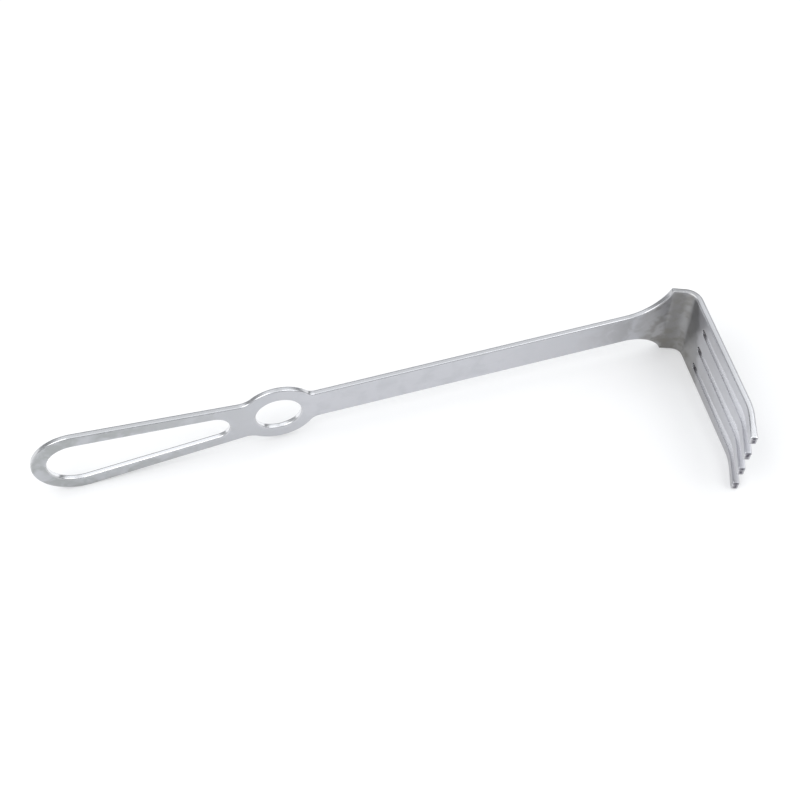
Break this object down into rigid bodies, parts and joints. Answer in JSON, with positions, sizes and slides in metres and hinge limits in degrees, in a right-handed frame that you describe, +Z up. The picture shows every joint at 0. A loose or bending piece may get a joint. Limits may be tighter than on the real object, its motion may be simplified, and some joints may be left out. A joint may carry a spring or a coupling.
{
  "type": "rake retractor",
  "caption": "Hand-held surgical rake retractor: flat handle with slotted grip and finger ring, and a bent plate slotted into blunt prongs with curled tips.",
  "frame": {"origin": "middle of the box's underside, on the tray that the retractor lies on", "axes": "+X along the handle from the grip towards the rake, -Y the way the prongs point, +Z up across the handle's width"},
  "size_m": [0.2501, 0.0687, 0.0355],
  "materials": {
    "handle_steel": "satin stainless steel with polished, rounded edges",
    "rake_steel": "satin stainless steel, cloudy where the joint and the bend were ground"
  },
  "bodies": {
    "root": {"handle": "handle_steel", "rake": "rake_steel"}
  },
  "joints": []
}
